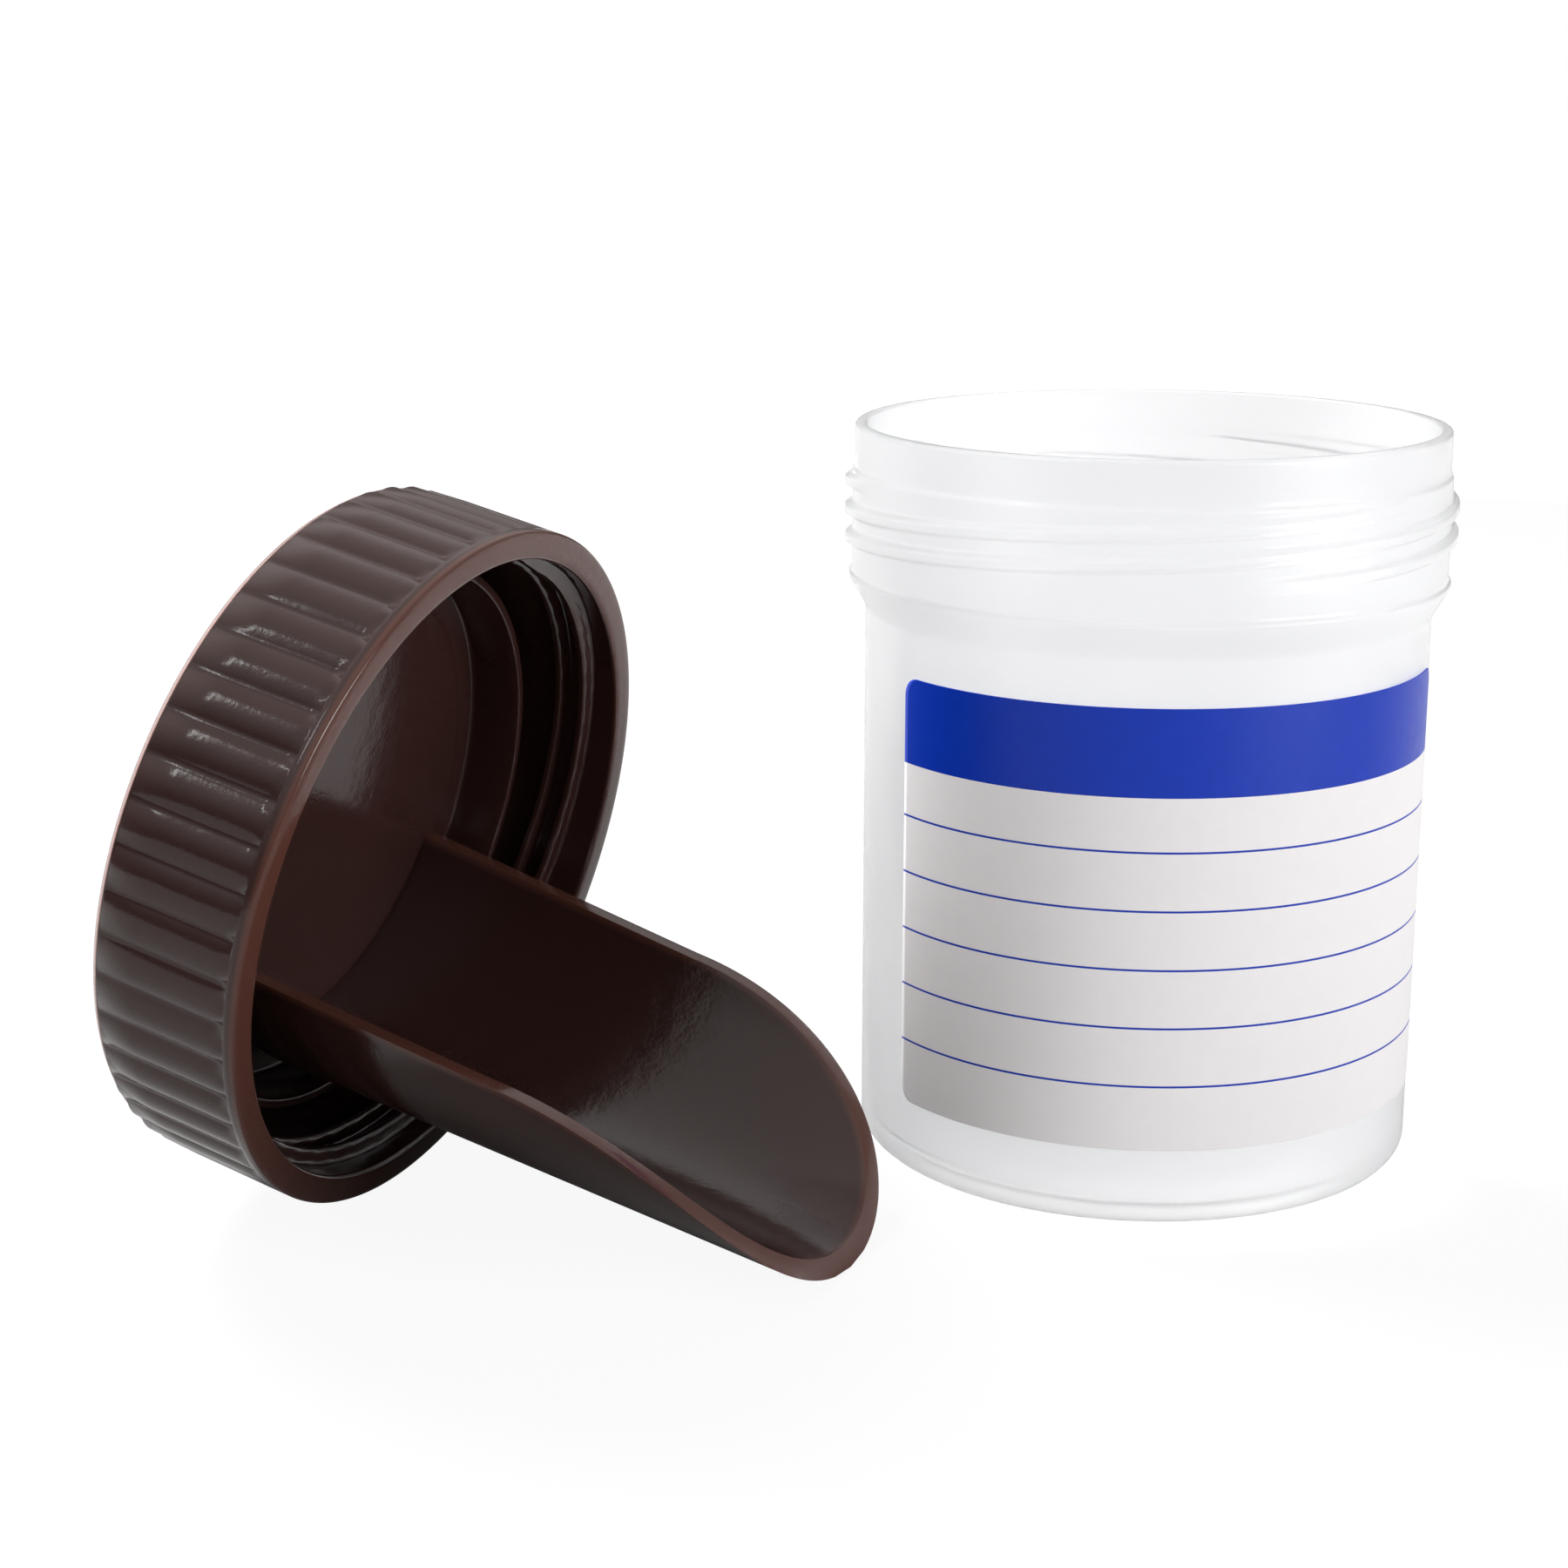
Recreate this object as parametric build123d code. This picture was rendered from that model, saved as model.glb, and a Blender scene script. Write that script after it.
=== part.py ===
from build123d import *
import math
import os

# A wide-mouth specimen container: a clear moulded cup with a write-on label, and beside it
# its screw cap, moulded in one piece with a gutter-shaped scoop.
# Millimetres and degrees. +Z is the cup's axis, the origin is the centre of the cup's foot.
# Angles round an axis are counted from -Y, where the label faces, towards +X.

# ---- Cup: heights ----
cup_height = 72.0
floor_thickness = 1.8
base_recess_depth = 0.6
shoulder_height = 2.9
neck_height = 14.8            # from the lip down to the crease above the shoulder

# ---- Cup: radii and walls ----
body_radius = 27.5
body_wall = 1.0
neck_overhang = 1.35          # the neck stands this far outside the body
crease_bead = 0.3             # the rounded edge where the neck meets the shoulder
lip_setback = 0.25            # the plain band under the lip is this much slimmer than the neck
lip_band = 4.2                # height of that plain band
neck_wall = 1.15
lip_round = 0.45              # on the lip's outer edge
foot_round = 1.8
floor_round = 1.5
base_land = 3.0               # width of the ring that the cup stands on
bend_steps = 2                # each moulded corner is turned in this many steps

# ---- Thread, shared by cup and cap ----
thread_starts = 3
thread_lead = 8.1             # rise in one full turn
thread_margin_below = 1.85    # plain neck left under the ridges
thread_margin_above = 0.1
thread_fade = 22.0            # each ridge rises out of the wall over this angle
thread_height = 0.7
thread_width = 1.75
thread_start_angle = 17.0
section_step = 14.0           # angle between two sections of a ridge
crest_width = 0.55            # flat top of a ridge
root_bite = 0.45              # how deep a ridge is sunk into the wall that carries it

# ---- Cap ----
thread_crest_gap = 0.2        # cap ridges clear the neck by this much
skirt_gap = 0.9               # cap wall clears the cup's ridges by this much
skirt_wall = 2.3
top_thickness = 1.1
rim_gap = 0.3                 # between the closed cap's rim and the cup's crease
knurl_count = 50
knurl_height = 0.45
collar_height = 1.2           # smooth band at the open rim
top_band = 0.7                # smooth bevelled edge round the top
edge_bevel = 0.35             # on the cap's top, its rim, the plug's tip and inside the cup's lip
lead_in = 0.45                # bevel at the mouth of the skirt's bore
cap_thread_angle = 60.0
cap_thread_margin = 0.7       # plain bore between the ridges' tops and the plug's tip level
cap_thread_width = 1.5
cap_thread_above_rim = 1.9    # lowest ridge centre in the cap

# ---- Plug seal and disc inside the cap ----
plug_clearance = 0.2
plug_wall = 1.15
plug_depth = 5.5
plug_flare = 0.5              # the ring's outer wall widens by this much from root to tip
disc_step = 0.4
disc_margin = 0.7             # the disc is this much larger than the scoop's root
disc_bevel = 0.25

# ---- Scoop ----
scoop_to_plug = 3.7           # gap between the plug's inner wall and the scoop's root
scoop_draft = 0.7             # the scoop's radius shrinks by this much at its tip
scoop_wall = 1.5
scoop_to_floor = 8.2          # gap between the scoop's tip and the cup's floor when closed
scoop_depth_root = 15.8       # depth of the gutter where it leaves the cap
scoop_depth_mid = 14.5        # depth where the tip's curve starts
scoop_curve_length = 29.5     # length of that curve, along the scoop

# ---- Label ----
label_above_foot = 7.7
label_below_shoulder = 4.6
label_width = 64.0
label_thickness = 0.12
label_corner = 1.8
label_angle = 13.5

# ---- Where the cap lies ----
tip_from_cup = 19.284         # from the cup's wall to the scoop's tip
tip_bearing = -31.564         # where the tip lies, seen from the cup's axis
cap_heading = 72.5            # the way the open end looks

# ---- Sizes that follow ----
shoulder_top = cup_height - neck_height
neck_plain = crease_bead * 2  # rounding above the crease
thread_rise = (neck_height - lip_band - neck_plain - thread_width
               - thread_margin_below - thread_margin_above)
thread_sweep = 360 * thread_rise / thread_lead
thread_first = shoulder_top + neck_plain + thread_margin_below + thread_width / 2
shoulder_bottom = shoulder_top - shoulder_height
neck_radius = body_radius + neck_overhang
lip_radius = neck_radius - lip_setback
neck_bore = lip_radius - neck_wall
thread_crest = neck_radius + thread_height
skirt_bore = thread_crest + skirt_gap
cap_thread_crest = neck_radius + thread_crest_gap
knurl_root = skirt_bore + skirt_wall
knurl_crest = knurl_root + knurl_height
land_height = neck_height - rim_gap           # rim to the face that the lip meets
cap_height = land_height + top_thickness
plug_outer = neck_bore - plug_clearance
plug_inner = plug_outer - plug_wall
scoop_root = plug_inner - scoop_to_plug
scoop_tip = scoop_root - scoop_draft
disc_face = land_height - disc_step
disc_radius = scoop_root + disc_margin
scoop_reach = cup_height - floor_thickness - scoop_to_floor - land_height
cap_thread_rise = (land_height - plug_depth - cap_thread_above_rim
                   - cap_thread_width / 2 - cap_thread_margin)
cap_thread_sweep = 360 * cap_thread_rise / thread_lead


def polar(radius, angle):
    """A point at this radius, its angle counted from -Y towards +X."""
    a = math.radians(angle - 90)
    return radius * math.cos(a), radius * math.sin(a)


def turned(points):
    """Revolve a closed outline, given as (radius, height) pairs, round the Z axis."""
    face = Plane.XZ * make_face(Polyline(*points, close=True))
    return revolve(face, Axis.Z)


def bend(centre_radius, centre_height, size, start, end):
    """Points round a moulded corner, given as (radius, height), in bend_steps equal steps."""
    turns = [math.radians(start + (end - start) * i / bend_steps) for i in range(bend_steps + 1)]
    return [(centre_radius + size * math.cos(a), centre_height + size * math.sin(a))
            for a in turns]


def helical_ridge(wall, crest, width, start_height, start_angle, sweep):
    """A rounded ridge that climbs a wall by the thread's lead and fades in and out.

    The crest is outside the wall on the cup and inside it in the cap."""
    outward = math.copysign(1, crest - wall)
    base = wall - outward * root_bite
    count = round(sweep / section_step)
    sections = []
    for i in range(count + 1):
        run = sweep * i / count
        fade = min(1.0, min(run, sweep - run) / thread_fade)
        swell = math.sin(fade * math.pi / 2)
        buried = base + outward * root_bite / 2
        top = buried + (crest - buried) * swell
        x, y = polar(1, start_angle + run)
        level = start_height + thread_lead * run / 360
        plane = Plane(origin=(0, 0, level), x_dir=(x, y, 0), z_dir=(y, -x, 0))
        half, flat = width / 2, crest_width / 2
        outline = Polyline((base, half), (base, -half), (top, -flat), (top, flat), close=True)
        sections.append(plane * make_face(outline))
    return loft(sections)


def thread(wall, crest, width, start_height, start_angle, sweep):
    """Every start of a thread, evenly spaced round the axis."""
    first = helical_ridge(wall, crest, width, start_height, start_angle, sweep)
    return [Rot(0, 0, i * 360 / thread_starts) * first for i in range(thread_starts)]


def cup():
    """The moulded cup: foot ring, straight body, shoulder, threaded neck and rounded lip."""
    lip_floor = cup_height - lip_band
    foot_inside = body_radius - foot_round - base_land
    bore = body_radius - body_wall
    outline = [(0, base_recess_depth), (foot_inside, base_recess_depth), (foot_inside, 0)]
    outline += bend(body_radius - foot_round, foot_round, foot_round, -90, 0)
    outline += [
        (body_radius, shoulder_bottom), (neck_radius + crease_bead, shoulder_top),
        (neck_radius, shoulder_top + neck_plain),
        (neck_radius, lip_floor - lip_setback), (lip_radius, lip_floor),
    ]
    outline += bend(lip_radius - lip_round, cup_height - lip_round, lip_round, 0, 90)
    outline += [
        (neck_bore + edge_bevel, cup_height), (neck_bore, cup_height - edge_bevel),
        (neck_bore, shoulder_top), (bore, shoulder_bottom),
    ]
    outline += bend(bore - floor_round, floor_thickness + floor_round, floor_round, 0, -90)
    outline += [(0, floor_thickness)]
    body = turned(outline)
    ridges = thread(neck_radius, thread_crest, thread_width,
                    thread_first, thread_start_angle, thread_sweep)
    return body + ridges


def knurled_ring():
    """The skirt's grip: rounded flutes side by side, between two smooth bands."""
    pitch = 360 / knurl_count
    lobes = [
        ThreePointArc(polar(knurl_root, i * pitch), polar(knurl_crest, (i + 0.5) * pitch),
                      polar(knurl_root, (i + 1) * pitch))
        for i in range(knurl_count)
    ]
    outline = Plane.XY.offset(collar_height) * make_face(Curve() + lobes)
    return extrude(outline, cap_height - top_band - collar_height)


def cap_shell():
    """Skirt, top, plug seal and disc, standing rim down as on the closed container."""
    plug_tip = land_height - plug_depth
    bands = turned([
        (0, 0), (knurl_crest - edge_bevel, 0), (knurl_crest, edge_bevel),
        (knurl_crest, collar_height), (knurl_root, collar_height),
        (knurl_root, cap_height - top_band), (knurl_root - edge_bevel, cap_height), (0, cap_height),
    ])
    cavity = turned([
        (0, 0), (skirt_bore + lead_in, 0), (skirt_bore, lead_in),
        (skirt_bore, land_height), (plug_outer - plug_flare, land_height),
        (plug_outer, plug_tip + edge_bevel), (plug_outer - edge_bevel, plug_tip),
        (plug_inner, plug_tip), (plug_inner, land_height), (disc_radius, land_height),
        (disc_radius - disc_bevel, disc_face), (0, disc_face),
    ])
    return bands + knurled_ring() - cavity


def scoop():
    """A tapering gutter from the disc down, its tip cut to one long curve.

    The gutter's floor is towards local +X, and its open side towards -X."""
    top = disc_face + disc_step / 2
    bottom = -scoop_reach
    shell = turned([
        (scoop_root - scoop_wall, top), (scoop_root, top),
        (scoop_tip, bottom), (scoop_tip - scoop_wall, bottom),
    ])
    curve_start = bottom + scoop_curve_length
    edge_root = scoop_root - scoop_depth_root
    edge_mid = scoop_root - scoop_depth_mid
    drop = scoop_tip - edge_mid
    arc_radius = (scoop_curve_length ** 2 + drop ** 2) / (2 * drop)
    half_turn = math.asin(scoop_curve_length / arc_radius) / 2
    middle = (edge_mid + arc_radius * (1 - math.cos(half_turn)),
              curve_start - arc_radius * math.sin(half_turn))
    side = Line((edge_root, top), (edge_mid, curve_start))
    side += ThreePointArc((edge_mid, curve_start), middle, (scoop_tip, bottom))
    side += Polyline((scoop_tip, bottom), (knurl_crest, bottom), (knurl_crest, top), (edge_root, top))
    keep = extrude(Plane.XZ * make_face(side), knurl_crest, both=True)
    return shell & keep


def screw_cap():
    """The whole cap moulding in its closed attitude, its rim at height 0."""
    ridges = thread(skirt_bore, cap_thread_crest, cap_thread_width,
                    cap_thread_above_rim, cap_thread_angle, cap_thread_sweep)
    return cap_shell() + ridges + scoop()


def lying_place():
    """The cap at rest on its rim and its scoop's tip, the gutter's floor lowest."""
    tilt = math.atan2(knurl_crest - scoop_tip, scoop_reach + edge_bevel)
    ahead = Vector(*polar(1, cap_heading), 0)
    up = Vector(0, 0, 1)
    opening = ahead * math.cos(tilt) - up * math.sin(tilt)
    gutter_floor = -ahead * math.sin(tilt) - up * math.cos(tilt)
    tip = Vector(*polar(body_radius + tip_from_cup, tip_bearing), 0)
    rim_centre = tip - gutter_floor * scoop_tip - opening * scoop_reach
    return Location(Plane(origin=rim_centre, x_dir=gutter_floor, z_dir=-opening))


def write_on_label():
    """The label, a rounded rectangle of film wrapped round the body below the shoulder."""
    low = label_above_foot
    high = shoulder_bottom - label_below_shoulder
    span = math.degrees(label_width / body_radius)
    strip = make_face(Polyline(
        (body_radius, low), (body_radius + label_thickness, low),
        (body_radius + label_thickness, high), (body_radius, high), close=True))
    sheet = revolve(Plane.XZ * strip, Axis.Z, revolution_arc=span)
    sheet = Rot(0, 0, label_angle - 90 - span / 2) * sheet
    corners = [e for e in sheet.edges().filter_by(GeomType.LINE)
               if e.length < 2 * label_thickness]
    return fillet(corners, label_corner)


os.makedirs("parts", exist_ok=True)
pieces = {
    "specimen_cup": cup(),
    "screw_cap_with_scoop": lying_place() * screw_cap(),
    "write_on_label": write_on_label(),
}
for name, piece in pieces.items():
    export_step(piece, f"parts/{name}.step")
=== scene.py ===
import math

import bmesh
import bpy
import numpy as np
from mathutils import Matrix, Vector


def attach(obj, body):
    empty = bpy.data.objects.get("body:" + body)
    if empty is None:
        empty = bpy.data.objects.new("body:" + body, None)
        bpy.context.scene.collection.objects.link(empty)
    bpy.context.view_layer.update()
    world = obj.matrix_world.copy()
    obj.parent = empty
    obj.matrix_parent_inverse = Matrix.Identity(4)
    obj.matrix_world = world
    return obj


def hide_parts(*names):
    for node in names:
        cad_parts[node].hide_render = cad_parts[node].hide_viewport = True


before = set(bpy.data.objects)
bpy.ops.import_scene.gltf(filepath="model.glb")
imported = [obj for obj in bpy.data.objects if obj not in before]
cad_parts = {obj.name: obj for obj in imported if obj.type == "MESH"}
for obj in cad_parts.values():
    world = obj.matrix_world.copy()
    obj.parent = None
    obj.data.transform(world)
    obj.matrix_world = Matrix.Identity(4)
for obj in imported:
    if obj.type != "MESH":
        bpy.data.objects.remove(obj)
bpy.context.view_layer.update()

MM = 0.001

# ---- Cup ----
CUP_HEIGHT = 72.0
BODY_R, BODY_WALL, FLOOR = 27.5, 1.0, 1.8
RECESS_R, RECESS_UP = 22.75, 0.6  # the hollow under its base
NECK_R, LIP_R, NECK_BORE = 28.85, 28.6, 27.45
CREASE_Z, SHOULDER_Z, LIP_FLOOR_Z = 57.2, 54.3, 67.8

# ---- Thread ridges, on the cup's neck and in the cap's skirt ----
LEAD, STARTS, RIDGE_FADE = 8.1, 3, 22
CUP_RIDGE_START, CUP_RIDGE_Z, CUP_RIDGE_SWEEP, CUP_RIDGE_RISE = 17, 60.53, 280, 0.7
CUP_RIDGE_HALF, CUP_RIDGE_FLAT = 0.86, 0.3
CAP_RIDGE_START, CAP_RIDGE_Z, CAP_RIDGE_SWEEP = 60, 1.9, 251
CAP_RIDGE_HALF, CAP_RIDGE_FLAT = 0.75, 0.28

# ---- Cap, in its own frame: the rim is at height 0, the top plate above it ----
KNURL_ROOT, KNURL_CREST, KNURLS = 32.75, 33.2, 50
CAP_HEIGHT, LAND, RIM_ROUND = 15.6, 14.5, 0.35
SKIRT_BORE, CAP_THREAD_R = 30.45, 29.05
PLUG_OUT, PLUG_IN, PLUG_DEPTH = 27.25, 26.1, 5.5
DISC_R, DISC_FACE = 23.1, 14.1
SCOOP_ROOT_R, SCOOP_TIP_R, SCOOP_WALL, SCOOP_REACH = 22.4, 21.7, 1.5, 47.5
EDGE_ROOT, EDGE_MID, CURVE = 6.6, 7.9, 29.5  # the cut edge, and the length of its curve
SCOOP_SUNK = 0.2  # how deep its root is sunk into the disc

# ---- Where the cap lies ----
CAP_X, CAP_Y, CAP_HEADING = -63.7, -27.5, -17.5  # the scoop points along the heading, from +X


def smooth(t):
    t = np.clip(t, 0.0, 1.0)
    return t * t * (3 - 2 * t)


def arc(cr, cz, size, start, end, steps=6):
    """Points (radius, height) round a corner of a profile."""
    return [(cr + size * math.cos(math.radians(start + (end - start) * i / steps)),
             cz + size * math.sin(math.radians(start + (end - start) * i / steps)))
            for i in range(steps + 1)]


def run(a, b, pitch):
    """Points from a towards b, without b, no further apart than pitch."""
    n = max(1, math.ceil(math.dist(a, b) / pitch))
    return [(a[0] + (b[0] - a[0]) * i / n, a[1] + (b[1] - a[1]) * i / n) for i in range(n)]


def lathe(name, profile, columns, push=None):
    """Turns a profile that starts and ends on the axis. push gives each ring's radii."""
    angles = np.arange(columns) * 2 * math.pi / columns
    rings = profile[1:-1]
    verts = [(0.0, 0.0, profile[0][1])]
    for row, (r, z) in enumerate(rings):
        radii = np.full(columns, r)
        if push:
            radii = push(r, z, angles, row, radii)
        verts += list(zip(radii * np.sin(angles), -radii * np.cos(angles), np.full(columns, z)))
    verts.append((0.0, 0.0, profile[-1][1]))
    last = len(verts) - 1
    faces = []
    for j in range(columns):
        k = (j + 1) % columns
        faces.append((0, 1 + k, 1 + j))
        for i in range(len(rings) - 1):
            a, b = 1 + i * columns, 1 + (i + 1) * columns
            faces.append((a + j, a + k, b + k, b + j))
        end = 1 + (len(rings) - 1) * columns
        faces.append((end + j, end + k, last))
    return piece(name, verts, faces)


def piece(name, verts, faces):
    """A smooth-shaded mesh object, from millimetres."""
    mesh = bpy.data.meshes.new(name)
    mesh.from_pydata([tuple(c * MM for c in v) for v in verts], [], faces)
    mesh.validate()
    mesh.polygons.foreach_set("use_smooth", [True] * len(mesh.polygons))
    mesh.update()
    obj = bpy.data.objects.new(name, mesh)
    bpy.context.scene.collection.objects.link(obj)
    return obj


def ridge_height(angles, z, start, first_z, sweep, half, flat):
    """How far the helical ridges stand out at each angle, from 0 to 1. Their ends fade out."""
    deg = np.degrees(angles)
    rise = np.zeros_like(deg)
    for k in range(STARTS):
        turn = (deg - (start + 360 // STARTS * k)) % 360
        centre = first_z + LEAD * turn / 360
        inside = np.clip(np.minimum(turn, sweep - turn) / RIDGE_FADE, 0, 1)
        across = smooth((half - np.abs(z - centre)) / (half - flat))
        rise = np.maximum(rise, np.where(turn <= sweep, smooth(inside) * across, 0))
    return rise


# ------------------------------------------------------------------ cup
def cup_mesh():
    foot, corner, lip, lip_in = 1.8, 1.5, 0.45, 0.35
    p = [(0, RECESS_UP)] + run((0.5, RECESS_UP), (RECESS_R - 0.25, RECESS_UP), 4)
    p += [(RECESS_R - 0.25, RECESS_UP), (RECESS_R, 0.3)]
    p += arc(RECESS_R + 0.25, 0.25, 0.25, 180, 270, 3)
    p += arc(BODY_R - foot, foot, foot, -90, 0, 10)
    p += run((BODY_R, 3.0), (BODY_R, SHOULDER_Z - 0.8), 3.0)
    p += [(BODY_R, SHOULDER_Z - 0.5), (BODY_R + 0.06, SHOULDER_Z - 0.1), (BODY_R + 0.22, SHOULDER_Z + 0.3)]
    p += run((BODY_R + 0.45, SHOULDER_Z + 0.75), (NECK_R + 0.1, CREASE_Z - 0.35), 0.5)
    p += arc(NECK_R - 0.05, CREASE_Z + 0.1, 0.35, -25, 60, 5)
    p += [(NECK_R + 0.02, CREASE_Z + 0.55)]
    p += run((NECK_R, CREASE_Z + 0.8), (NECK_R, LIP_FLOOR_Z - 0.35), 0.14)
    p += [(NECK_R, LIP_FLOOR_Z - 0.35), (NECK_R - 0.06, LIP_FLOOR_Z - 0.15), (LIP_R + 0.05, LIP_FLOOR_Z),
          (LIP_R, LIP_FLOOR_Z + 0.2)]
    p += run((LIP_R, LIP_FLOOR_Z + 0.6), (LIP_R, CUP_HEIGHT - lip), 0.8)
    p += arc(LIP_R - lip, CUP_HEIGHT - lip, lip, 0, 90, 6)
    p += arc(NECK_BORE + lip_in, CUP_HEIGHT - lip_in, lip_in, 90, 180, 6)
    p += run((NECK_BORE, CUP_HEIGHT - lip - 0.6), (NECK_BORE, CREASE_Z + 0.4), 1.5)
    p += [(NECK_BORE, CREASE_Z + 0.3), (NECK_BORE - 0.05, CREASE_Z - 0.1)]
    p += run((NECK_BORE - 0.25, CREASE_Z - 0.7), (BODY_R - BODY_WALL + 0.1, SHOULDER_Z + 0.3), 0.5)
    p += [(BODY_R - BODY_WALL + 0.02, SHOULDER_Z - 0.1)]
    p += run((BODY_R - BODY_WALL, SHOULDER_Z - 0.5), (BODY_R - BODY_WALL, FLOOR + corner), 3.0)
    p += arc(BODY_R - BODY_WALL - corner, FLOOR + corner, corner, 0, -90, 8)
    p += run((23.5, FLOOR), (0.5, FLOOR), 4) + [(0, FLOOR)]

    def push(r, z, angles, row, radii):
        # only the neck band carries the thread
        if not (abs(r - NECK_R) < 0.12 and CREASE_Z + 0.5 < z < LIP_FLOOR_Z + 0.01):
            return radii
        rise = ridge_height(angles, z, CUP_RIDGE_START, CUP_RIDGE_Z, CUP_RIDGE_SWEEP,
                            CUP_RIDGE_HALF, CUP_RIDGE_FLAT)
        return radii + CUP_RIDGE_RISE * rise

    return lathe("cup_smooth", p, 360, push)


# ------------------------------------------------------------------ cap
def lying():
    """The cap's resting place, worked out from its own sizes: on its rim and the scoop's tip."""
    tilt = math.atan2(KNURL_CREST - SCOOP_TIP_R, SCOOP_REACH + RIM_ROUND)
    h = math.radians(CAP_HEADING)
    out = Vector((math.cos(tilt) * math.cos(h), math.cos(tilt) * math.sin(h), -math.sin(tilt)))
    down = Vector((-math.sin(tilt) * math.cos(h), -math.sin(tilt) * math.sin(h), -math.cos(tilt)))
    up_axis = -out
    side = up_axis.cross(down)
    m = Matrix((down, side, up_axis)).transposed().to_4x4()
    z = KNURL_CREST * math.cos(tilt) - RIM_ROUND * math.sin(tilt)
    m.translation = Vector((CAP_X, CAP_Y, z)) * MM
    return m


def cap_mesh():
    columns = KNURLS * 12
    p = [(0, CAP_HEIGHT)] + run((2, CAP_HEIGHT), (31.9, CAP_HEIGHT), 5)
    # the plate's edge: how far in and how far down each ring of its bevel lies
    edge = [(0.75, 0.0), (0.5, 0.03), (0.33, 0.1), (0.25, 0.19), (0.22, 0.23), (0.07, 0.44), (0.04, 0.48),
            (0.0, 0.6), (0.0, 0.7)]
    p += [(KNURL_ROOT - inward, CAP_HEIGHT - down) for inward, down in edge]
    knurl_first = len(p) - 1
    p += [(KNURL_ROOT, CAP_HEIGHT - 1.0), (KNURL_ROOT, 11), (KNURL_ROOT, 8), (KNURL_ROOT, 5),
          (KNURL_ROOT, 2.5), (KNURL_ROOT, 1.45)]
    knurl_last = len(p) - 1
    p += [(KNURL_CREST - 0.05, 1.25), (KNURL_CREST, 1.15), (KNURL_CREST, 0.8)]
    p += arc(KNURL_CREST - RIM_ROUND, RIM_ROUND, RIM_ROUND, 0, -90, 4)
    p += [(32.2, 0.0), (31.4, 0.0)] + arc(SKIRT_BORE + 0.45, 0.45, 0.45, 270, 180, 4)
    p += run((SKIRT_BORE, 0.5), (SKIRT_BORE, 9.6), 0.15)
    p += run((SKIRT_BORE, 9.6), (SKIRT_BORE, LAND - 0.4), 1.5)
    p += arc(SKIRT_BORE - 0.3, LAND - 0.3, 0.3, 0, 90, 3)
    p += arc(PLUG_OUT - 0.5 + 0.3, LAND - 0.3, 0.3, 90, 180, 3)
    tip = LAND - PLUG_DEPTH
    p += [(PLUG_OUT - 0.25, LAND - 2.6), (PLUG_OUT - 0.02, tip + 0.6)]
    p += arc(PLUG_OUT - 0.3, tip + 0.3, 0.3, 0, -90, 4) + arc(PLUG_IN + 0.35, tip + 0.2, 0.2, 270, 180, 3)
    p += [(PLUG_IN, tip + 1.0), (PLUG_IN, LAND - 2.5), (PLUG_IN, LAND - 0.8)]
    p += arc(PLUG_IN - 0.4, LAND - 0.4, 0.4, 0, 90, 4)
    p += [(24.3, LAND), (DISC_R + 0.25, LAND), (DISC_R + 0.05, LAND - 0.08)]
    p += [(DISC_R - 0.02, DISC_FACE + 0.12), (DISC_R - 0.15, DISC_FACE + 0.02), (DISC_R - 0.5, DISC_FACE)]
    p += run((20, DISC_FACE), (1, DISC_FACE), 4) + [(0, DISC_FACE)]
    # each lobe is a circle arc from the root radius over the crest
    pitch = 2 * math.pi / KNURLS
    half = KNURL_ROOT * math.sin(pitch / 2)
    sag = KNURL_CREST - KNURL_ROOT * math.cos(pitch / 2)
    lobe_r = (half * half + sag * sag) / (2 * sag)
    centre = KNURL_CREST - lobe_r

    def push(r, z, angles, row, radii):
        row = row + 1
        if knurl_first <= row <= knurl_last:
            if row == knurl_first:
                return radii
            a = (angles % pitch) - pitch / 2
            lobes = centre * np.cos(a) + np.sqrt(lobe_r ** 2 - (centre * np.sin(a)) ** 2)
            if row == knurl_first + 1:
                return radii * 0.25 + lobes * 0.75
            return lobes
        if abs(r - SKIRT_BORE) < 0.02 and 0.4 < z < 9.7:
            rise = ridge_height(angles, z, CAP_RIDGE_START, CAP_RIDGE_Z, CAP_RIDGE_SWEEP,
                                CAP_RIDGE_HALF, CAP_RIDGE_FLAT)
            return radii - (SKIRT_BORE - CAP_THREAD_R) * rise
        return radii

    return lathe("cap_smooth", p, columns, push)


def scoop_edge(z):
    """How far out the scoop's cut edge stands at a height: a slight slope, then one long curve to the tip."""
    curve_start = CURVE - SCOOP_REACH
    if z >= curve_start:
        return EDGE_MID + (EDGE_ROOT - EDGE_MID) * (z - curve_start) / (DISC_FACE + SCOOP_SUNK - curve_start)
    drop = SCOOP_TIP_R - EDGE_MID
    big = (CURVE ** 2 + drop ** 2) / (2 * drop)
    return EDGE_MID + big - math.sqrt(max(0.0, big * big - (curve_start - z) ** 2))


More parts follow.
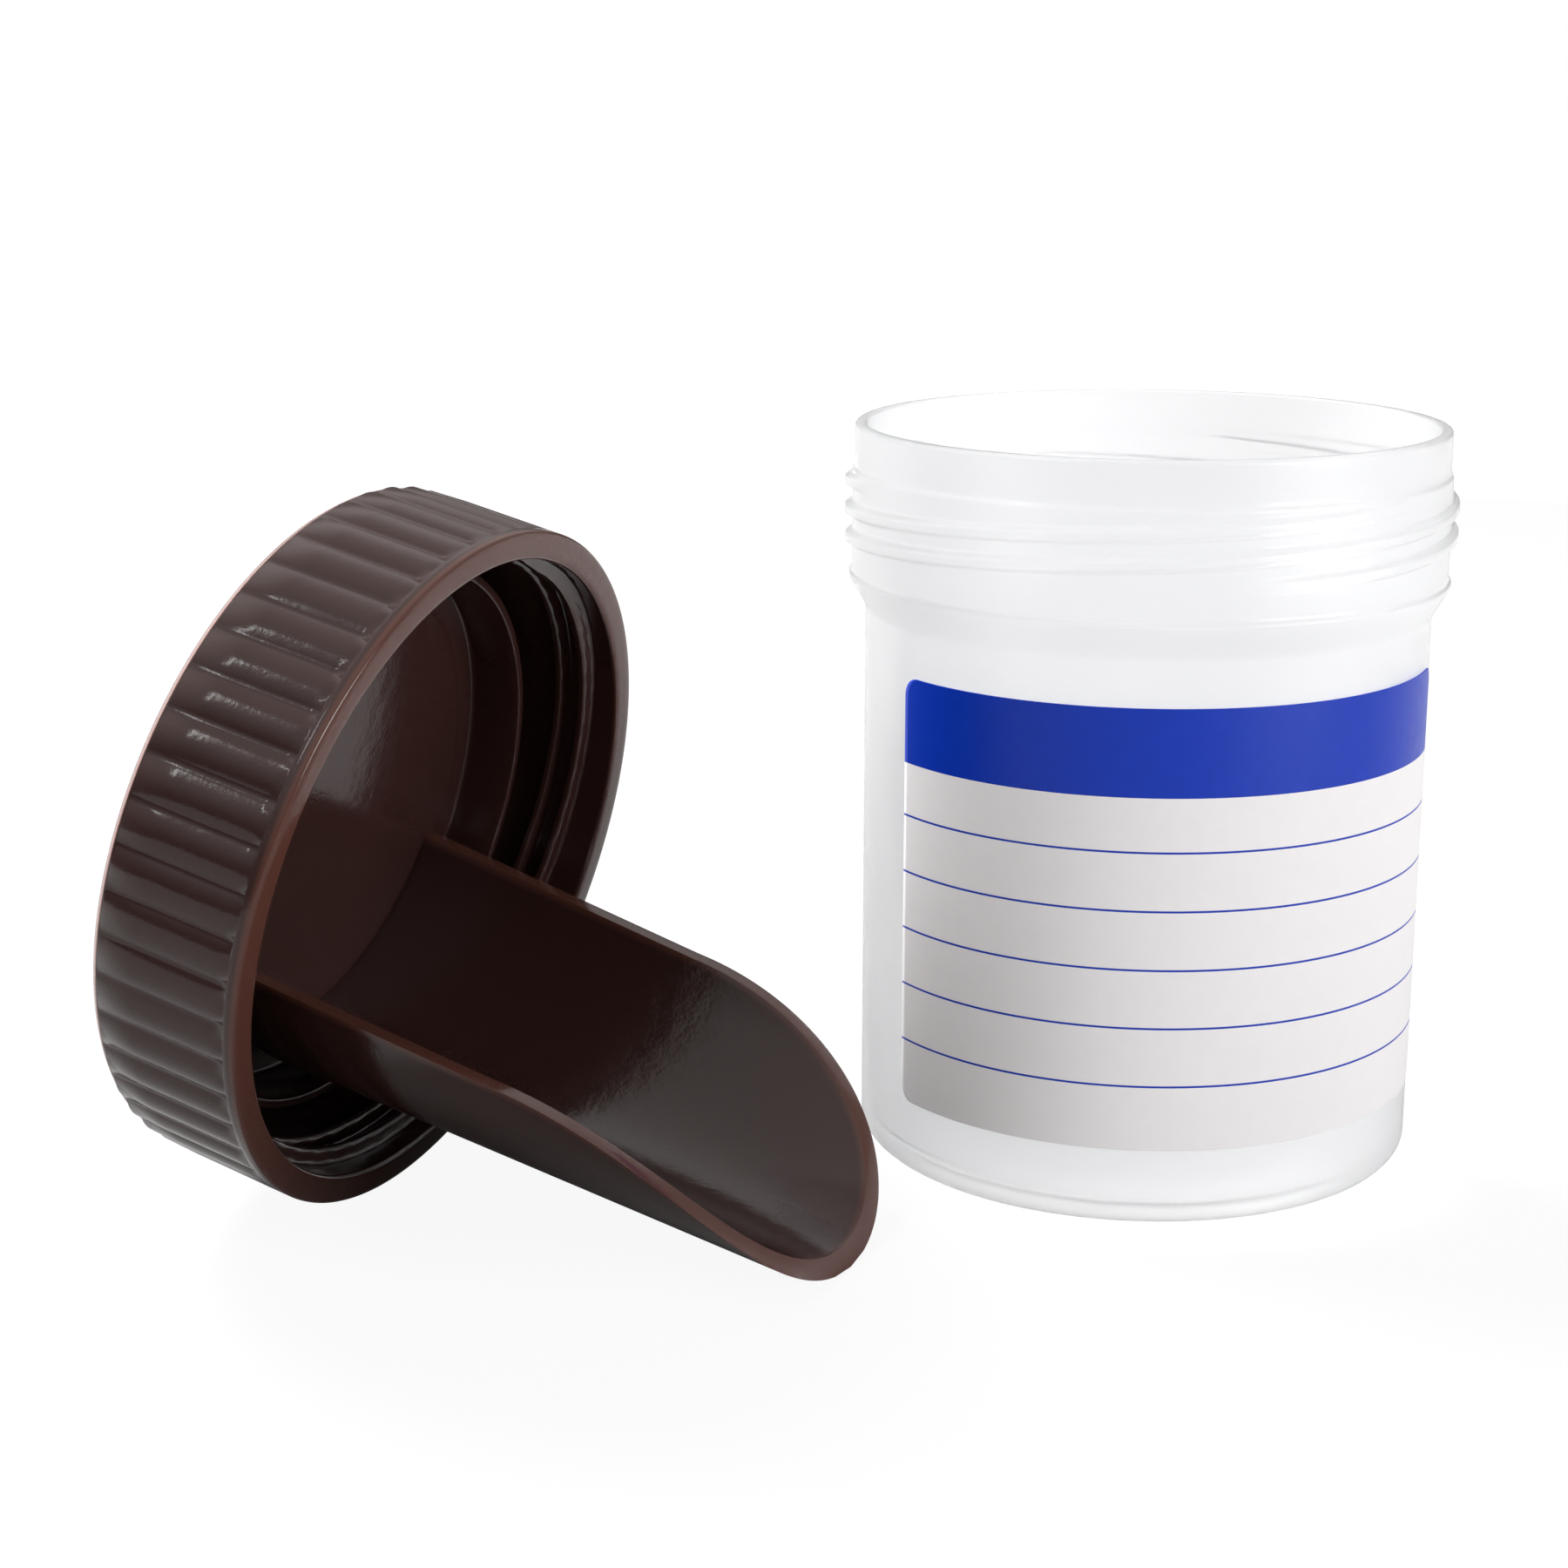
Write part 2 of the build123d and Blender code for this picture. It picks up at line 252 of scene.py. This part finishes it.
def scoop_mesh():
    """A conical gutter: an outer and an inner skin, joined along the cut edge and across the root."""
    top = DISC_FACE + SCOOP_SUNK
    bottom = -SCOOP_REACH

    def radius(z):
        return SCOOP_TIP_R + (SCOOP_ROOT_R - SCOOP_TIP_R) * (z - bottom) / (top - bottom)

    def last_z(inset):
        """Where the cut edge runs out of the skin, found by halving."""
        lo, hi = bottom, bottom + CURVE
        for _ in range(60):
            mid = (lo + hi) / 2
            if scoop_edge(mid) > radius(mid) - inset:
                lo = mid
            else:
                hi = mid
        return hi

    rows, cols = 110, 61
    verts, faces = [], []
    for inset in (0.0, SCOOP_WALL):
        end = last_z(inset)
        for i in range(rows):
            t = 1 - i / (rows - 1)
            z = end + (top - end) * (0.35 * t + 0.65 * t * t) if t > 0 else end
            r = radius(z) - inset
            widest = math.acos(min(1.0, scoop_edge(z) / r)) if i < rows - 1 else 0.0
            for j in range(cols):
                a = widest * (2 * j / (cols - 1) - 1)
                verts.append((r * math.cos(a), r * math.sin(a), z))
    n = rows * cols
    for i in range(rows - 1):
        for j in range(cols - 1):
            a, b = i * cols + j, (i + 1) * cols + j
            faces.append((a, a + 1, b + 1, b))
            faces.append((n + a, n + b, n + b + 1, n + a + 1))
        for j, flip in ((0, False), (cols - 1, True)):
            a, b = i * cols + j, (i + 1) * cols + j
            f = (a, b, n + b, n + a)
            faces.append(f[::-1] if flip else f)
    for j in range(cols - 1):
        faces.append((j, n + j, n + j + 1, j + 1))
    return verts, faces


def merge_close(obj, dist):
    """Joins vertices closer than dist and turns every face outwards."""
    bm = bmesh.new()
    bm.from_mesh(obj.data)
    bmesh.ops.remove_doubles(bm, verts=bm.verts, dist=dist)
    bmesh.ops.recalc_face_normals(bm, faces=bm.faces)
    bm.to_mesh(obj.data)
    bm.free()


def soften(obj, width, angle):
    """Rounds the edges that are sharper than the angle."""
    m = obj.modifiers.new("soft_edges", "BEVEL")
    m.width, m.segments = width * MM, 3
    m.limit_method, m.angle_limit = "ANGLE", math.radians(angle)


# ------------------------------------------------------------------ label
LABEL_LOW, LABEL_HIGH, LABEL_WIDE, LABEL_CORNER, LABEL_THICK = 7.7, 49.7, 64.0, 1.8, 0.12
LABEL_MID = 13.5  # the angle its middle faces
HEADER_Z, RULES_Z, RULE_HALF = 41.45, (36.35, 30.8, 25.2, 19.6, 13.95), 0.1


def label_mesh():
    """The film's outer and inner skins, bent round the body, joined along all four edges."""
    rows = [LABEL_CORNER * (1 - math.cos(math.pi / 2 * k / 8)) for k in range(9)]
    heights = [LABEL_LOW + d for d in rows]
    straight = LABEL_HIGH - LABEL_LOW - 2 * LABEL_CORNER
    heights += [LABEL_LOW + LABEL_CORNER + straight * k / 24 for k in range(1, 24)]
    heights += [LABEL_HIGH - d for d in reversed(rows)]
    cols = 121
    verts, faces = [], []
    for r in (BODY_R + LABEL_THICK, BODY_R + 0.01):
        for z in heights:
            d = min(z - LABEL_LOW, LABEL_HIGH - z)
            inset = 0.0
            if d < LABEL_CORNER:
                inset = LABEL_CORNER - math.sqrt(max(0.0, LABEL_CORNER ** 2 - (LABEL_CORNER - d) ** 2))
            half = (LABEL_WIDE / 2 - inset) / BODY_R
            for j in range(cols):
                a = math.radians(LABEL_MID) + half * (2 * j / (cols - 1) - 1)
                verts.append((r * math.sin(a), -r * math.cos(a), z))
    n, m = len(heights) * cols, len(heights)
    for i in range(m - 1):
        for j in range(cols - 1):
            a, b = i * cols + j, (i + 1) * cols + j
            faces.append((a, a + 1, b + 1, b))
            faces.append((n + a, n + b, n + b + 1, n + a + 1))
        for j, flip in ((0, True), (cols - 1, False)):
            a, b = i * cols + j, (i + 1) * cols + j
            f = (a, b, n + b, n + a)
            faces.append(f[::-1] if flip else f)
    for i, flip in ((0, False), (m - 1, True)):
        for j in range(cols - 1):
            a = i * cols + j
            f = (a, n + a, n + a + 1, a + 1)
            faces.append(f[::-1] if flip else f)
    obj = piece("label_film", verts, faces)
    merge_close(obj, 1e-7)
    return obj


# ------------------------------------------------------------------ materials
def nodes_of(name):
    mat = bpy.data.materials.new(name)
    mat.use_nodes = True
    tree = mat.node_tree
    shader = tree.nodes["Principled BSDF"]
    return mat, tree, shader


def math_node(tree, op, a, b=None, c=None):
    n = tree.nodes.new("ShaderNodeMath")
    n.operation = op
    for i, v in enumerate((a, b, c)):
        if v is None:
            continue
        if isinstance(v, (int, float)):
            n.inputs[i].default_value = v
        else:
            tree.links.new(v, n.inputs[i])
    return n.outputs[0]


def mix_colour(tree, fac, a, b):
    n = tree.nodes.new("ShaderNodeMix")
    n.data_type = "RGBA"
    for socket, v in ((n.inputs[0], fac), (n.inputs[6], a), (n.inputs[7], b)):
        if isinstance(v, (int, float)):
            socket.default_value = v
        elif isinstance(v, tuple):
            socket.default_value = (*v, 1.0)
        else:
            tree.links.new(v, socket)
    return n.outputs[2]


def map_range(tree, value, source, target=(0.0, 1.0), kind="SMOOTHSTEP"):
    """Carries the source range over to the target range, and holds the ends."""
    n = tree.nodes.new("ShaderNodeMapRange")
    n.interpolation_type = kind
    for key, v in zip(("From Min", "From Max", "To Min", "To Max"), source + target):
        n.inputs[key].default_value = v
    tree.links.new(value, n.inputs["Value"])
    return n.outputs[0]


def vector_math(tree, op, vector, other):
    n = tree.nodes.new("ShaderNodeVectorMath")
    n.operation = op
    n.inputs[1].default_value = other
    tree.links.new(vector, n.inputs[0])
    return n.outputs["Value"]


def separate(tree, vector):
    n = tree.nodes.new("ShaderNodeSeparateXYZ")
    tree.links.new(vector, n.inputs[0])
    return n.outputs


def noise(tree, coords, scale, detail=2.0, rough=0.5):
    n = tree.nodes.new("ShaderNodeTexNoise")
    n.inputs["Scale"].default_value = scale
    n.inputs["Detail"].default_value = detail
    n.inputs["Roughness"].default_value = rough
    tree.links.new(coords, n.inputs["Vector"])
    return n.outputs[0]


def bump(tree, shader, height, distance):
    n = tree.nodes.new("ShaderNodeBump")
    n.inputs["Strength"].default_value = 1.0
    n.inputs["Distance"].default_value = distance
    tree.links.new(height, n.inputs["Height"])
    tree.links.new(n.outputs[0], shader.inputs["Normal"])


def object_coords(tree):
    return tree.nodes.new("ShaderNodeTexCoord").outputs["Object"]


def srgb(r, g, b):
    """A linear colour from screen values of 0 to 255."""
    return tuple((v / 255 / 12.92 if v / 255 <= 0.04045 else ((v / 255 + 0.055) / 1.055) ** 2.4)
                 for v in (r, g, b))


def clear_plastic():
    mat, tree, sh = nodes_of("clear_plastic")
    sh.inputs["Base Color"].default_value = (0.888, 0.889, 0.896, 1)
    sh.inputs["Transmission Weight"].default_value = 0.88
    sh.inputs["IOR"].default_value = 1.31
    sh.inputs["Specular IOR Level"].default_value = 0.3
    sh.inputs["Coat Weight"].default_value = 0.2
    sh.inputs["Coat Roughness"].default_value = 0.06
    co = object_coords(tree)
    n = noise(tree, co, 60, 2)
    # kept above 0.28: where it crosses about 0.27 the denoiser outlines the patches
    tree.links.new(math_node(tree, "MULTIPLY_ADD", n, 0.05, 0.285), sh.inputs["Roughness"])
    bump(tree, sh, noise(tree, co, 250, 2), 0.000005)
    # plastic this thin throws only a pale shadow
    path = tree.nodes.new("ShaderNodeLightPath").outputs["Is Shadow Ray"]
    clear = tree.nodes.new("ShaderNodeBsdfTransparent")
    mixer = tree.nodes.new("ShaderNodeMixShader")
    tree.links.new(math_node(tree, "MULTIPLY", path, 0.93), mixer.inputs[0])
    tree.links.new(sh.outputs[0], mixer.inputs[1])
    tree.links.new(clear.outputs[0], mixer.inputs[2])
    tree.links.new(mixer.outputs[0], tree.nodes["Material Output"].inputs[0])
    return mat


def cap_plastic():
    mat, tree, sh = nodes_of("cap_plastic")
    co = object_coords(tree)
    cloud = noise(tree, co, 45, 2)
    body = mix_colour(tree, cloud, srgb(45, 27, 24), srgb(51, 31, 28))
    edge_light_paint = tree.nodes.new("ShaderNodeAttribute")
    edge_light_paint.attribute_name = "edge_light_paint"
    # painted glow: the rim and the scoop's edge are coloured warmer, as if light shone through the thin
    # plastic
    warm = mix_colour(tree, edge_light_paint.outputs["Fac"], body, srgb(82, 49, 40))
    # painted highlight: the plate's edge is given a pale line where it would catch the light
    edge = math_node(tree, "MAXIMUM", math_node(tree, "SUBTRACT", edge_light_paint.outputs["Fac"], 1.0), 0.0)
    tree.links.new(mix_colour(tree, edge, warm, srgb(185, 155, 150)), sh.inputs["Base Color"])
    sh.inputs["Specular IOR Level"].default_value = 0.34
    fine = noise(tree, co, 900, 3)
    tree.links.new(math_node(tree, "MULTIPLY_ADD", fine, 0.1, 0.09), sh.inputs["Roughness"])
    grain = noise(tree, co, 2600, 2, 0.6)
    waves = noise(tree, co, 420, 2)
    bump(tree, sh, math_node(tree, "ADD", math_node(tree, "MULTIPLY", grain, 0.35), waves), 0.00003)
    return mat


def cap_painted_light(v):
    """Painted glow on the skirt's rim, as if light shone through it, strongest at its top and near side where
    the light falls. Over 1 is a painted highlight along the plate's edge.
    """
    r = v.xy.length
    rim = max(0.0, min(1.0, (0.75 - v.z) / 0.3)) * (r > SKIRT_BORE + 0.1)
    # painted shade: the rim's glow fades towards its bottom and far side
    rim *= max(0.0, 0.5 - (0.4 * v.x - 0.3 * v.y) / KNURL_CREST)
    plate_edge = v.z > CAP_HEIGHT - 0.62 and r > KNURL_ROOT - 0.25
    return rim + (1.4 + 0.6 * v.y / KNURL_CREST) * plate_edge


def scoop_painted_light(v):
    """Painted glow on the strip along the scoop's cut edge, as if light shone through it."""
    return 0.8 * max(0.0, min(1.0, 1 - (v.x - scoop_edge(v.z)) / 0.7))


def store_painted_light(obj, weight):
    """Stores a weight of painted light at each vertex: painted glow where light would shine through the
    moulding's thin edges and warm them, and a painted highlight.
    """
    a = obj.data.attributes.new("edge_light_paint", "FLOAT", "POINT")
    a.data.foreach_set("value", [weight(v.co / MM) for v in obj.data.vertices])


def label_paper():
    mat, tree, sh = nodes_of("label_paper")
    co = object_coords(tree)
    z = separate(tree, co)[2]
    ink = math_node(tree, "GREATER_THAN", z, HEADER_Z * MM)
    for level in RULES_Z:
        off = math_node(tree, "ABSOLUTE", math_node(tree, "SUBTRACT", z, level * MM))
        ink = math_node(tree, "MAXIMUM", ink, math_node(tree, "LESS_THAN", off, RULE_HALF * MM))
    fibre = noise(tree, co, 700, 3)
    ground = mix_colour(tree, fibre, (0.80, 0.772, 0.778), (0.83, 0.805, 0.812))
    blue = mix_colour(tree, fibre, srgb(2, 47, 166), srgb(6, 53, 176))
    tree.links.new(mix_colour(tree, ink, ground, blue), sh.inputs["Base Color"])
    tree.links.new(math_node(tree, "MULTIPLY_ADD", fibre, 0.1, 0.35), sh.inputs["Roughness"])
    sh.inputs["Specular IOR Level"].default_value = 0.32
    bump(tree, sh, fibre, 0.00002)
    return mat


# ------------------------------------------------------------------ build
clear = clear_plastic()
brown = cap_plastic()
paper = label_paper()

cup = cup_mesh()
cup.data.materials.append(clear)
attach(cup, "root")
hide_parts("specimen_cup")

place = lying()
cap = cap_mesh()
# turned so that its angles count from its own +X, where the scoop is
cap.data.transform(Matrix.Rotation(math.radians(90), 4, "Z"))
scoop_v, scoop_f = scoop_mesh()
scoop = piece("scoop_smooth", scoop_v, scoop_f)
merge_close(scoop, 1e-7)
# painted glow and painted highlight, stored as weights on the vertices
store_painted_light(cap, cap_painted_light)
store_painted_light(scoop, scoop_painted_light)
for o in (cap, scoop):
    o.data.transform(place)
    o.data.materials.append(brown)
    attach(o, "root")
merge_close(cap, 1e-8)
soften(scoop, 0.35, 45)
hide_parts("screw_cap_with_scoop")

label = label_mesh()
label.data.materials.append(paper)
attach(label, "root")
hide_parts("write_on_label")

# ------------------------------------------------------------------ floor, world, lamps, camera
def ray_share(tree, camera, glossy, transmission, inside):
    """How much white each kind of ray sees, the last one when it was mirrored within the cup's wall."""
    path = tree.nodes.new("ShaderNodeLightPath").outputs
    a = math_node(tree, "MULTIPLY", path["Is Camera Ray"], camera)
    a = math_node(tree, "MAXIMUM", a, math_node(tree, "MULTIPLY", path["Is Glossy Ray"], glossy))
    a = math_node(tree, "MAXIMUM", a, math_node(tree, "MULTIPLY", path["Is Transmission Ray"], transmission))
    entered = math_node(tree, "GREATER_THAN", path["Transmission Depth"], 0.5)
    through = math_node(tree, "MULTIPLY", path["Is Glossy Ray"], entered)
    return math_node(tree, "MAXIMUM", a, math_node(tree, "MULTIPLY", through, inside))


FLOOR_HALF = 3.0
floor_mesh = bpy.data.meshes.new("floor")
floor_mesh.from_pydata([(x * FLOOR_HALF, y * FLOOR_HALF, 0) for x, y in ((-1, -1), (1, -1), (1, 1), (-1, 1))],
                       [], [(0, 1, 2, 3)])
floor = bpy.data.objects.new("floor", floor_mesh)
floor.location.z = -0.0002
bpy.context.scene.collection.objects.link(floor)
floor_white, tree, matt = nodes_of("floor_white")
matt.inputs["Base Color"].default_value = (0.4, 0.4, 0.4, 1)
matt.inputs["Roughness"].default_value = 1.0
matt.inputs["Specular IOR Level"].default_value = 0.0
glow = tree.nodes.new("ShaderNodeEmission")
glow.inputs["Color"].default_value = (1, 1, 1, 1)
glow.inputs["Strength"].default_value = 1.1
co = object_coords(tree)
# near the objects the floor mirrors darker than it does further out
open_floor = map_range(tree, vector_math(tree, "DISTANCE", co, (-0.03, 0, 0)), (0.06, 0.14), (0.0, 0.46))
# behind the objects it is brighter still in reflections, which lights the cup's left side
behind = map_range(tree, separate(tree, co)[1], (0.02, 0.12), (0.0, 0.5))
near = ray_share(tree, 0.84, math_node(tree, "ADD", open_floor, behind), 0.78, 0.78)
# by half a metre out the floor has run into the white backdrop
far = map_range(tree, vector_math(tree, "DISTANCE", co, (0, 0, 0)), (0.2, 0.5), kind="LINEAR")
beyond = math_node(tree, "MULTIPLY", far, ray_share(tree, 1.0, 0.8, 0.95, 0.95))
blend = tree.nodes.new("ShaderNodeMixShader")
tree.links.new(math_node(tree, "MAXIMUM", near, beyond), blend.inputs[0])
tree.links.new(matt.outputs[0], blend.inputs[1])
tree.links.new(glow.outputs[0], blend.inputs[2])
tree.links.new(blend.outputs[0], tree.nodes["Material Output"].inputs[0])
floor_mesh.materials.append(floor_white)

world = bpy.data.worlds.new("studio")
bpy.context.scene.world = world
world.use_nodes = True
tree = world.node_tree
back = tree.nodes["Background"]
back.inputs["Color"].default_value = (1, 1, 1, 1)
way = tree.nodes.new("ShaderNodeTexCoord").outputs["Generated"]
up = separate(tree, way)[2]
# reflections find the room bright above and dim at eye level
room = map_range(tree, up, (0.05, 0.8), (0.17, 1.15))
# a round white panel low on the left, behind: it draws the bright line along the cap's back edge
panel = map_range(tree, vector_math(tree, "DOT_PRODUCT", way, (-0.82, 0.57, 0.02)), (0.86, 0.95))
# soft light comes from the sides more than from above
side = map_range(tree, up, (0.0, 0.8), (0.5, 0.12), "LINEAR")
others = math_node(tree, "MAXIMUM", ray_share(tree, 1.0, 0.0, 1.0, 1.0), side)
ray = tree.nodes.new("ShaderNodeLightPath").outputs
outside = math_node(tree, "LESS_THAN", ray["Transmission Depth"], 0.5)
seen = tree.nodes.new("ShaderNodeMix")
tree.links.new(math_node(tree, "MULTIPLY", ray["Is Glossy Ray"], outside), seen.inputs[0])
tree.links.new(others, seen.inputs[2])
tree.links.new(math_node(tree, "MAXIMUM", room, panel), seen.inputs[3])
tree.links.new(seen.outputs[0], back.inputs["Strength"])


def lamp(name, where, aim, size, watts):
    data = bpy.data.lights.new(name, "AREA")
    data.shape = "RECTANGLE"
    data.size, data.size_y = size
    data.energy = watts
    obj = bpy.data.objects.new(name, data)
    obj.location = where
    obj.rotation_euler = (Vector(aim) - Vector(where)).to_track_quat("-Z", "Y").to_euler()
    bpy.context.scene.collection.objects.link(obj)
    return obj


lamp("key", (0.57, -0.32, 0.17), (0, 0, 0.03), (0.4, 0.2), 3.3)
over = lamp("over", (-0.35, 0.2, 0.42), (-0.06, -0.02, 0.03), (0.25, 0.25), 6.2)
fill = lamp("fill", (-0.4, -0.3, 0.4), (0, 0, 0.03), (0.3, 0.3), 1.1)
left = lamp("left", (-0.42, -0.28, 0.5), (-0.06, -0.02, 0.03), (0.035, 0.16), 0.24)
# the soft lamps aren't mirrored, and none on the left shines through the cup's wall
for soft in (over, fill):
    soft.visible_glossy = False
for o in (over, fill, left):
    o.visible_transmission = False

cam_data = bpy.data.cameras.new("camera")
cam = bpy.data.objects.new("camera", cam_data)
bpy.context.scene.collection.objects.link(cam)
# the camera fitted to the photo: it looks a little left of +Y, and down
yaw, pitch = math.radians(-7.405), math.radians(14.254)
forward = Vector((math.sin(yaw) * math.cos(pitch), math.cos(yaw) * math.cos(pitch), -math.sin(pitch)))
cam.location = (0, -0.275318, 0.105179)
cam.rotation_mode = "QUATERNION"
cam.rotation_quaternion = forward.to_track_quat("-Z", "Y")
cam_data.lens, cam_data.sensor_width = 64.782, 36.0
cam_data.clip_start, cam_data.clip_end = 0.01, 20
bpy.context.scene.camera = cam
bpy.context.scene.view_settings.view_transform = "Standard"
